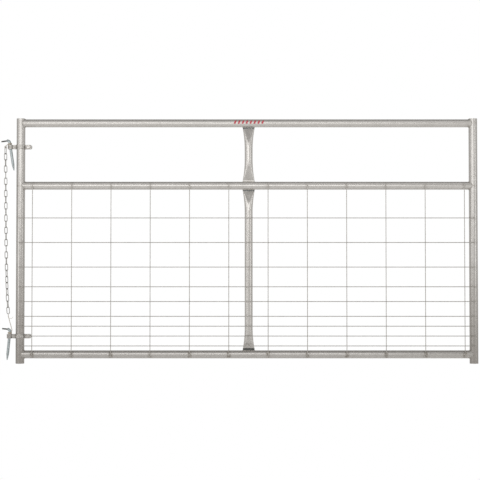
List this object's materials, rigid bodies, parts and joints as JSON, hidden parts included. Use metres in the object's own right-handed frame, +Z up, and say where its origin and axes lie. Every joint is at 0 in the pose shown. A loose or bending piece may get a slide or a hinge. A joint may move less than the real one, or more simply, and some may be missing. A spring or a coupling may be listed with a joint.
{
  "type": "livestock panel gate",
  "caption": "Wire-filled tube gate for livestock, hung from two clamp-on hinge collars, with loose screw hooks and a tied latch chain.",
  "frame": {"origin": "centre of the lower hinge eye's bore, on the pin line that the gate swings about", "axes": "+X from the hinge side to the latch side, -Y is the front with the mesh on it, +Z up along the hinge pins"},
  "size_m": [2.4743, 0.0533, 1.27],
  "materials": {
    "galvanised_tube": "satin galvanised, warm grey",
    "galvanised_wire": "dull galvanised wire",
    "collar_steel": "dull galvanised strap",
    "zinc_fastener": "zinc plated",
    "zinc_hook": "blue-grey zinc plate",
    "chain_steel": "bright zinc plate",
    "tie_cord": "cream nylon"
  },
  "bodies": {
    "gate_frame": {"hinge_post": "galvanised_tube", "latch_post": "galvanised_tube", "top_rail": "galvanised_tube", "middle_rail": "galvanised_tube", "bottom_rail": "galvanised_tube", "upper_brace": "galvanised_tube", "lower_brace": "galvanised_tube", "mesh_stays": "galvanised_wire", "mesh_line_wires": "galvanised_wire", "upper_hinge_collar": "collar_steel", "lower_hinge_collar": "collar_steel", "clamp_bolts": "zinc_fastener", "clamp_washers": "zinc_fastener", "clamp_nuts": "zinc_fastener", "upper_chain_tie": "tie_cord", "lower_chain_tie": "tie_cord"},
    "upper_hook": {"upper_screw_hook": "zinc_hook"},
    "lower_hook": {"lower_screw_hook": "zinc_hook"},
    "link_01": {"chain_link_01": "chain_steel"},
    "link_02": {"chain_link_02": "chain_steel"},
    "link_03": {"chain_link_03": "chain_steel"},
    "link_04": {"chain_link_04": "chain_steel"},
    "link_05": {"chain_link_05": "chain_steel"},
    "link_06": {"chain_link_06": "chain_steel"},
    "link_07": {"chain_link_07": "chain_steel"},
    "link_08": {"chain_link_08": "chain_steel"},
    "link_09": {"chain_link_09": "chain_steel"},
    "link_10": {"chain_link_10": "chain_steel"},
    "link_11": {"chain_link_11": "chain_steel"},
    "link_12": {"chain_link_12": "chain_steel"},
    "link_13": {"chain_link_13": "chain_steel"},
    "link_14": {"chain_link_14": "chain_steel"},
    "link_15": {"chain_link_15": "chain_steel"},
    "link_16": {"chain_link_16": "chain_steel"},
    "link_17": {"chain_link_17": "chain_steel"},
    "link_18": {"chain_link_18": "chain_steel"},
    "link_19": {"chain_link_19": "chain_steel"},
    "link_20": {"chain_link_20": "chain_steel"},
    "link_21": {"chain_link_21": "chain_steel"},
    "link_22": {"chain_link_22": "chain_steel"},
    "link_23": {"chain_link_23": "chain_steel"},
    "link_24": {"chain_link_24": "chain_steel"},
    "link_25": {"chain_link_25": "chain_steel"},
    "link_26": {"chain_link_26": "chain_steel"},
    "link_27": {"chain_link_27": "chain_steel"}
  },
  "joints": [
    {"name": "upper_hook_swivel", "type": "hinge", "parent": "gate_frame", "child": "upper_hook", "pos_m": [0, 0, 0.981], "axis": [-0.1547, 0, 0.988], "range_deg": [-90, 90]},
    {"name": "lower_hook_swivel", "type": "hinge", "parent": "gate_frame", "child": "lower_hook", "pos_m": [0, 0, 0], "axis": [0.0958, 0, 0.9954], "range_deg": [-90, 90]},
    {"name": "link_01_swing", "type": "hinge", "parent": "gate_frame", "child": "link_01", "pos_m": [-0.0253, 0, 0.9764], "axis": [0.7071, 0.7071, 0], "range_deg": [0, 6]},
    {"name": "link_02_swing", "type": "hinge", "parent": "link_01", "child": "link_02", "pos_m": [-0.02499, 0, 0.9445], "axis": [-0.7071, 0.7071, -0.0068], "range_deg": [0, 6]},
    {"name": "link_03_swing", "type": "hinge", "parent": "link_02", "child": "link_03", "pos_m": [-0.02469, 0, 0.9126], "axis": [0.809, 0.5878, 0.0078], "range_deg": [0, 6]},
    {"name": "link_04_swing", "type": "hinge", "parent": "link_03", "child": "link_04", "pos_m": [-0.02438, 0, 0.8807], "axis": [-0.454, 0.891, -0.0044], "range_deg": [0, 6]},
    {"name": "link_05_swing", "type": "hinge", "parent": "link_04", "child": "link_05", "pos_m": [-0.02407, 0, 0.84881], "axis": [0.951, 0.309, 0.0091], "range_deg": [0, 6]},
    {"name": "link_06_swing", "type": "hinge", "parent": "link_05", "child": "link_06", "pos_m": [-0.02377, 0, 0.81691], "axis": [-0.1564, 0.9877, -0.0015], "range_deg": [0, 6]},
    {"name": "link_07_swing", "type": "hinge", "parent": "link_06", "child": "link_07", "pos_m": [-0.02346, 0, 0.78501], "axis": [1, 0, 0.0097], "range_deg": [-6, 6]},
    {"name": "link_08_swing", "type": "hinge", "parent": "link_07", "child": "link_08", "pos_m": [-0.02315, 0, 0.75311], "axis": [0, 1, 0], "range_deg": [0, 6]},
    {"name": "link_09_swing", "type": "hinge", "parent": "link_08", "child": "link_09", "pos_m": [-0.02283, 0, 0.72121], "axis": [1, 0, 0.0099], "range_deg": [-6, 6]},
    {"name": "link_10_swing", "type": "hinge", "parent": "link_09", "child": "link_10", "pos_m": [-0.02251, 0, 0.68931], "axis": [0, 1, 0], "range_deg": [0, 6]},
    {"name": "link_11_swing", "type": "hinge", "parent": "link_10", "child": "link_11", "pos_m": [-0.02218, 0, 0.65741], "axis": [0.9999, 0, 0.0104], "range_deg": [-6, 6]},
    {"name": "link_12_swing", "type": "hinge", "parent": "link_11", "child": "link_12", "pos_m": [-0.02183, 0, 0.62552], "axis": [0, 1, 0], "range_deg": [0, 6]},
    {"name": "link_13_swing", "type": "hinge", "parent": "link_12", "child": "link_13", "pos_m": [-0.02147, 0, 0.59362], "axis": [0.9999, 0, 0.0114], "range_deg": [-6, 6]},
    {"name": "link_14_swing", "type": "hinge", "parent": "link_13", "child": "link_14", "pos_m": [-0.02107, 0, 0.56172], "axis": [0, 1, 0], "range_deg": [0, 6]},
    {"name": "link_15_swing", "type": "hinge", "parent": "link_14", "child": "link_15", "pos_m": [-0.02065, 0, 0.52982], "axis": [0.9999, 0, 0.0132], "range_deg": [-6, 6]},
    {"name": "link_16_swing", "type": "hinge", "parent": "link_15", "child": "link_16", "pos_m": [-0.02019, 0, 0.49793], "axis": [0, 1, 0], "range_deg": [0, 6]},
    {"name": "link_17_swing", "type": "hinge", "parent": "link_16", "child": "link_17", "pos_m": [-0.01968, 0, 0.46603], "axis": [0.9999, 0, 0.016], "range_deg": [-6, 6]},
    {"name": "link_18_swing", "type": "hinge", "parent": "link_17", "child": "link_18", "pos_m": [-0.01911, 0, 0.43414], "axis": [-0.1423, 0.9898, -0.0025], "range_deg": [0, 6]},
    {"name": "link_19_swing", "type": "hinge", "parent": "link_18", "child": "link_19", "pos_m": [-0.01847, 0, 0.40224], "axis": [0.9593, 0.2817, 0.0193], "range_deg": [0, 6]},
    {"name": "link_20_swing", "type": "hinge", "parent": "link_19", "child": "link_20", "pos_m": [-0.01774, 0, 0.37035], "axis": [-0.4153, 0.9096, -0.0095], "range_deg": [0, 6]},
    {"name": "link_21_swing", "type": "hinge", "parent": "link_20", "child": "link_21", "pos_m": [-0.01691, 0, 0.33846], "axis": [0.841, 0.5406, 0.0219], "range_deg": [0, 6]},
    {"name": "link_22_swing", "type": "hinge", "parent": "link_21", "child": "link_22", "pos_m": [-0.01596, 0, 0.30658], "axis": [-0.6546, 0.7557, -0.0195], "range_deg": [0, 6]},
    {"name": "link_23_swing", "type": "hinge", "parent": "link_22", "child": "link_23", "pos_m": [-0.01488, 0, 0.2747], "axis": [0.6545, 0.7557, 0.0223], "range_deg": [0, 6]},
    {"name": "link_24_swing", "type": "hinge", "parent": "link_23", "child": "link_24", "pos_m": [-0.01363, 0, 0.24282], "axis": [-0.8406, 0.5406, -0.0329], "range_deg": [0, 6]},
    {"name": "link_25_swing", "type": "hinge", "parent": "link_24", "child": "link_25", "pos_m": [-0.0122, 0, 0.21095], "axis": [0.415, 0.9096, 0.0186], "range_deg": [0, 6]},
    {"name": "link_26_swing", "type": "hinge", "parent": "link_25", "child": "link_26", "pos_m": [-0.01056, 0, 0.17909], "axis": [-0.9582, 0.2817, -0.0493], "range_deg": [0, 6]},
    {"name": "link_27_swing", "type": "hinge", "parent": "link_26", "child": "link_27", "pos_m": [-0.00868, 0, 0.14725], "axis": [0.1421, 0.9898, 0.0084], "range_deg": [0, 6]}
  ]
}
